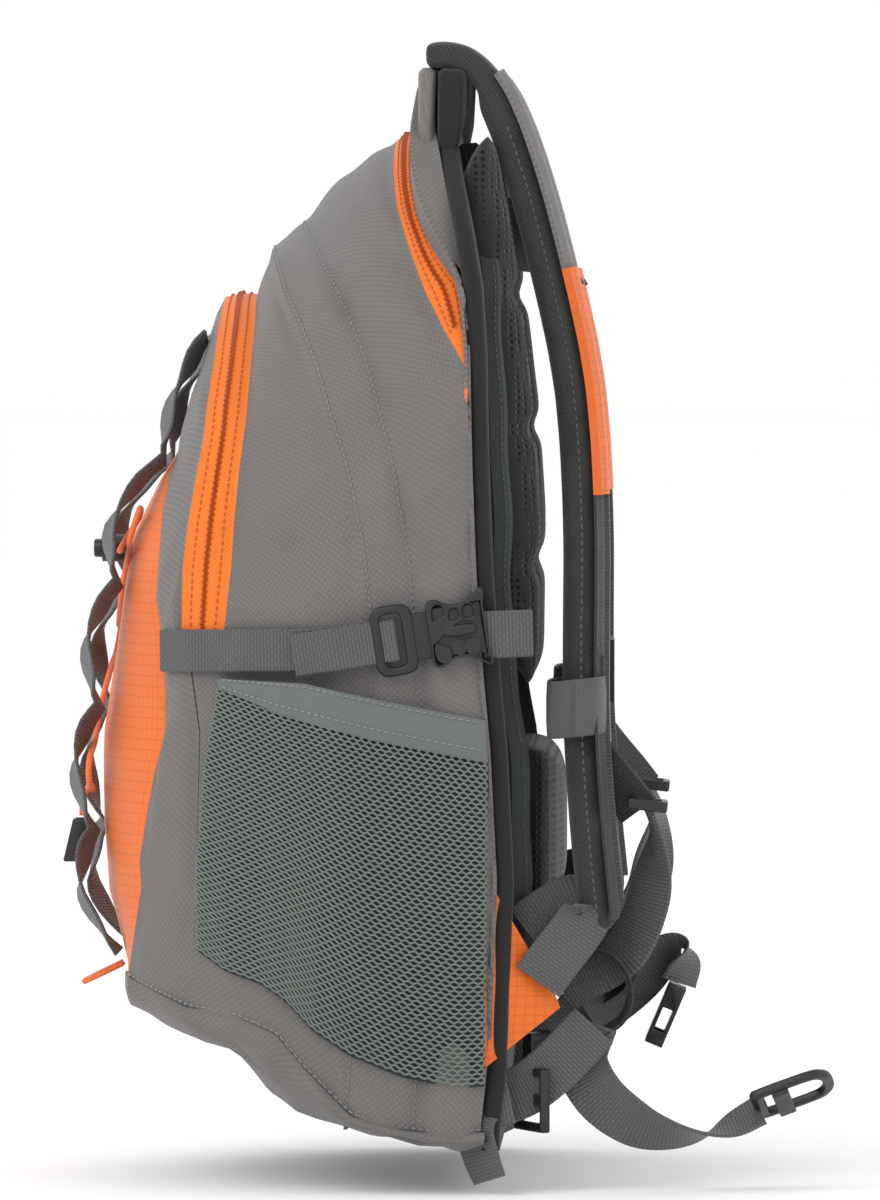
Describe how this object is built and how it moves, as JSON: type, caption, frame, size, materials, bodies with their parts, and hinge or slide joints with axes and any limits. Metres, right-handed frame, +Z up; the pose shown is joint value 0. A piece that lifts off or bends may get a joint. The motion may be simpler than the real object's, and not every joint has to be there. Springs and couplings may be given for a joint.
{
  "type": "daypack",
  "caption": "Hiking daypack with zipped main and front compartments, mesh side pockets, padded back, shoulder straps, sternum strap and hip webbing.",
  "frame": {"origin": "middle of the flat face of the lumbar pad, where the pack rests on its wearer", "axes": "+Y out of the back panel towards the wearer, +Z up as worn, +X to the wearer's right"},
  "size_m": [0.316, 0.3708, 0.5246],
  "materials": {
    "grey_fabric": "coated two-tone weave",
    "orange_fabric": "coated ripstop",
    "black_fabric": "plain nylon",
    "netting": "open knitted net",
    "pad_mesh": "spacer mesh over foam",
    "strap_fabric": "spacer mesh over foam",
    "webbing": "woven nylon webbing",
    "zip_coil": "nylon coil",
    "hardware": "moulded acetal, fine texture",
    "elastic_cord": "braided elastic cord",
    "stiffener": "polyethylene sheet"
  },
  "bodies": {
    "pack": {"main_top_panel": "grey_fabric", "main_side_panel_right": "grey_fabric", "main_side_panel_left": "grey_fabric", "front_top_panel": "grey_fabric", "front_side_panel_right": "grey_fabric", "front_side_panel_left": "grey_fabric", "front_pocket_rim": "grey_fabric", "base_panel": "grey_fabric", "top_yoke": "grey_fabric", "divider_panel": "grey_fabric", "main_zip_gusset": "orange_fabric", "front_zip_gusset": "orange_fabric", "front_panel": "orange_fabric", "side_wing_right": "orange_fabric", "side_wing_left": "orange_fabric", "main_zip_chain": "zip_coil", "front_zip_chain": "zip_coil", "back_panel": "black_fabric", "frame_sheet": "stiffener", "back_pad_right": "pad_mesh", "back_pad_left": "pad_mesh", "lumbar_pad": "pad_mesh", "mesh_pocket_right": "netting", "mesh_pocket_left": "netting", "buckle_socket_right": "hardware", "buckle_socket_left": "hardware", "cord_end": "hardware", "tri_glide_right": "hardware", "tri_glide_left": "hardware", "compression_strap_right": "webbing", "compression_strap_left": "webbing", "front_webbing_right": "webbing", "front_webbing_left": "webbing", "bungee_cord": "elastic_cord", "tool_loop": "elastic_cord"},
    "main_zip": {"main_zip_slider": "hardware"},
    "main_pull": {"main_zip_pull": "hardware"},
    "front_zip": {"front_zip_slider": "hardware"},
    "front_pull": {"front_zip_pull": "hardware"},
    "plug_right": {"buckle_plug_right": "hardware", "buckle_strap_right": "webbing"},
    "plug_left": {"buckle_plug_left": "hardware", "buckle_strap_left": "webbing"},
    "haul": {"haul_loop": "webbing"},
    "lock": {"cord_lock": "hardware"},
    "lock_button": {"cord_lock_button": "hardware"},
    "harness": {"shoulder_strap_right": "strap_fabric", "shoulder_strap_left": "strap_fabric", "adjuster_webbing_right": "webbing", "adjuster_webbing_left": "webbing"},
    "ladder_right": {"ladder_lock_right": "hardware"},
    "ladder_left": {"ladder_lock_left": "hardware"},
    "sternum": {"sternum_webbing_right": "webbing", "sternum_socket": "hardware"},
    "sternum_left": {"sternum_webbing_left": "webbing", "sternum_plug": "hardware"},
    "hip_right": {"hip_webbing_right": "webbing", "hip_plug": "hardware"},
    "hip_left": {"hip_webbing_left": "webbing", "hip_socket": "hardware"}
  },
  "joints": [
    {"name": "main_zip_run", "type": "hinge", "parent": "pack", "child": "main_zip", "pos_m": [0, -0.02815, 0.18767], "axis": [0, 0.9489, 0.3156], "range_deg": [0, 90]},
    {"name": "main_pull_swing", "type": "hinge", "parent": "main_zip", "child": "main_pull", "pos_m": [-0.10946, -0.0627, 0.29153], "axis": [0, 0.9489, 0.3156], "range_deg": [0, 160]},
    {"name": "front_zip_run", "type": "slide", "parent": "pack", "child": "front_zip", "axis": [0, 0.0941, 0.9956], "range_m": [0, 0.03]},
    {"name": "front_pull_swing", "type": "hinge", "parent": "front_zip", "child": "front_pull", "pos_m": [-0.1228, -0.16918, 0.10994], "axis": [0, 0.9956, -0.0941], "range_deg": [0, 160]},
    {"name": "buckle_release_right", "type": "slide", "parent": "pack", "child": "plug_right", "axis": [0, -0.9877, -0.1564], "range_m": [0, 0.02]},
    {"name": "buckle_release_left", "type": "slide", "parent": "pack", "child": "plug_left", "axis": [0, -0.9877, -0.1564], "range_m": [0, 0.02]},
    {"name": "haul_swing", "type": "hinge", "parent": "pack", "child": "haul", "pos_m": [0, -0.0265, 0.3], "axis": [1, 0, 0], "range_deg": [0, 165]},
    {"name": "lock_slide", "type": "slide", "parent": "pack", "child": "lock", "axis": [1, 0, 0], "range_m": [-0.007, 0.007]},
    {"name": "lock_press", "type": "slide", "parent": "lock", "child": "lock_button", "axis": [0, 1, 0], "range_m": [0, 0.003], "stiffness_N_per_m": 120, "springref_m": -0.001},
    {"name": "harness_swing", "type": "hinge", "parent": "pack", "child": "harness", "pos_m": [0, -0.0475, 0.362], "axis": [1, 0, 0], "range_deg": [0, 12]},
    {"name": "ladder_slide_right", "type": "slide", "parent": "harness", "child": "ladder_right", "axis": [0, 0.3304, -0.9439], "range_m": [-0.008, 0.008]},
    {"name": "ladder_slide_left", "type": "slide", "parent": "harness", "child": "ladder_left", "axis": [0, 0.3304, -0.9439], "range_m": [-0.008, 0.008]},
    {"name": "sternum_height", "type": "slide", "parent": "harness", "child": "sternum", "axis": [0, 0, 1], "range_m": [-0.008, 0.055]},
    {"name": "sternum_release", "type": "slide", "parent": "sternum", "child": "sternum_left", "axis": [-1, 0, 0], "range_m": [0, 0.02]},
    {"name": "hip_swing_right", "type": "hinge", "parent": "pack", "child": "hip_right", "pos_m": [0.124, 0.0155, -0.088], "axis": [1, 0, 0], "range_deg": [-12, 24]},
    {"name": "hip_swing_left", "type": "hinge", "parent": "pack", "child": "hip_left", "pos_m": [-0.124, 0.0115, -0.102], "axis": [1, 0, 0], "range_deg": [-15, 10]}
  ]
}
